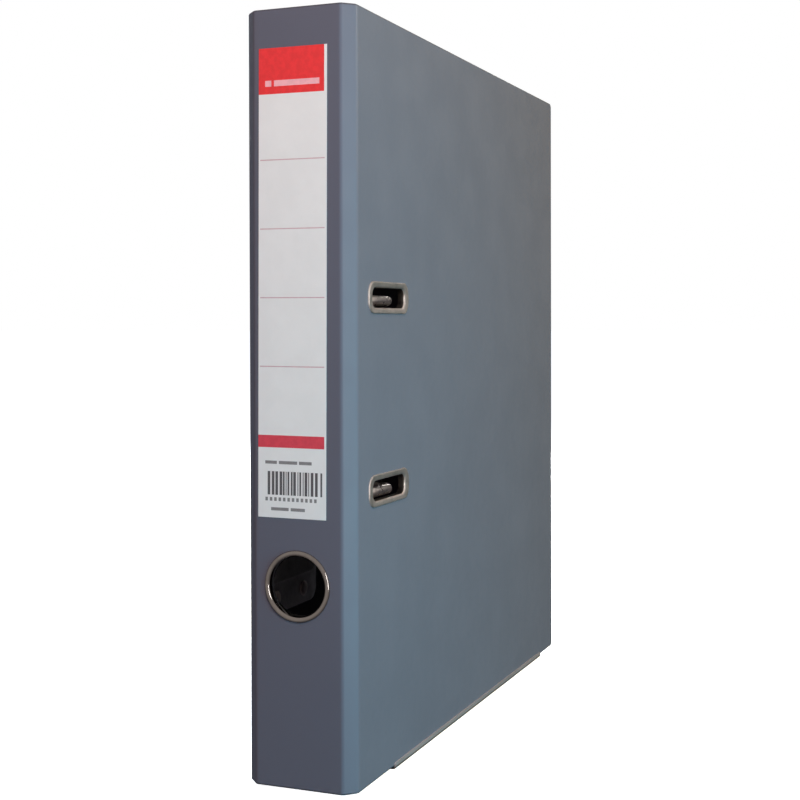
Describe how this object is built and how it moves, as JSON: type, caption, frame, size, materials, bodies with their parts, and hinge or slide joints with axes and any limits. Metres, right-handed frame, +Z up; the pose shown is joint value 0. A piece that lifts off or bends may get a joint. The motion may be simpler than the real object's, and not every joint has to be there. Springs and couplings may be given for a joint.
{
  "type": "lever arch file",
  "caption": "Tall grey lever arch file with a paper spine label, finger ring, closing slots, steel bottom edge guards and a two-ring arch mechanism inside.",
  "frame": {"origin": "centre of the file's footprint on the surface it stands on", "axes": "+X from the spine to the fore-edge, -Y out of the front cover, +Z up along the spine"},
  "size_m": [0.2864, 0.0502, 0.3188],
  "materials": {
    "cover_foil": "satin polypropylene foil with a fine emboss",
    "greyboard": "bare",
    "lining_paper": "matt",
    "label_paper": "satin self-adhesive",
    "nickel": "polished nickel plating",
    "guard_steel": "satin nickel plating",
    "plated_steel": "bright nickel plating",
    "spring_steel": "tempered spring steel"
  },
  "bodies": {
    "spine": {"spine_foil": "cover_foil", "spine_board": "greyboard", "spine_lining": "lining_paper", "spine_label": "label_paper", "finger_ring": "nickel", "finger_ring_washer": "nickel"},
    "front_strip": {"front_hinge_foil": "cover_foil", "front_hinge_lining": "lining_paper"},
    "front_cover": {"front_cover_foil": "cover_foil", "front_cover_board": "greyboard", "front_cover_lining": "lining_paper", "lower_slot_eyelet": "nickel", "upper_slot_eyelet": "nickel", "front_edge_guard": "guard_steel"},
    "back_strip": {"back_hinge_foil": "cover_foil", "back_hinge_lining": "lining_paper"},
    "back_cover": {"back_cover_foil": "cover_foil", "back_cover_board": "greyboard", "back_cover_lining": "lining_paper", "back_edge_guard": "guard_steel", "base_plate": "plated_steel", "plate_rivets": "nickel", "lower_post": "plated_steel", "upper_post": "plated_steel", "lower_bearing_clip": "plated_steel", "upper_bearing_clip": "plated_steel", "leaf_spring": "spring_steel", "spring_rivet": "plated_steel", "lever_pin": "plated_steel"},
    "arch": {"arch_wire": "plated_steel"},
    "lever": {"lever": "plated_steel", "roller_pin": "plated_steel"},
    "roller": {"lever_roller": "plated_steel"},
    "compressor": {"compressor_bar": "plated_steel", "compressor_clip": "spring_steel", "clip_rivets": "plated_steel"}
  },
  "joints": [
    {"name": "back_cover_fold", "type": "hinge", "parent": "back_cover", "child": "back_strip", "pos_m": [-0.1374, 0.0245, 0.16005], "axis": [0, 0, -1], "range_deg": [0, 75]},
    {"name": "back_strip_fold", "type": "hinge", "parent": "back_strip", "child": "spine", "pos_m": [-0.1423, 0.0196, 0.16005], "axis": [0, 0, -1], "range_deg": [0, 75]},
    {"name": "front_strip_fold", "type": "hinge", "parent": "spine", "child": "front_strip", "pos_m": [-0.1423, -0.0196, 0.16005], "axis": [0, 0, -1], "range_deg": [0, 75]},
    {"name": "front_cover_fold", "type": "hinge", "parent": "front_strip", "child": "front_cover", "pos_m": [-0.1374, -0.0245, 0.16005], "axis": [0, 0, -1], "range_deg": [0, 75]},
    {"name": "arch_swing", "type": "hinge", "parent": "back_cover", "child": "arch", "pos_m": [-0.1215, 0.0165, 0.16025], "axis": [0, 0, -1], "range_deg": [0, 28]},
    {"name": "lever_lift", "type": "hinge", "parent": "back_cover", "child": "lever", "pos_m": [-0.1283, 0.0115, 0.18625], "axis": [-1, 0, 0], "range_deg": [0, 80]},
    {"name": "roller_spin", "type": "hinge", "parent": "lever", "child": "roller", "pos_m": [-0.1141, 0.0115, 0.17225], "axis": [1, 0, 0], "continuous": true},
    {"name": "compressor_slide", "type": "slide", "parent": "back_cover", "child": "compressor", "axis": [0, -1, 0], "range_m": [0, 0.021]}
  ],
  "couplings": [
    {"joint": "back_strip_fold", "follows": "back_cover_fold", "ratio": 1},
    {"joint": "front_strip_fold", "follows": "front_cover_fold", "ratio": 1},
    {"joint": "arch_swing", "follows": "front_cover_fold", "ratio": 0.3733},
    {"joint": "lever_lift", "follows": "front_cover_fold", "ratio": 1.0666}
  ]
}
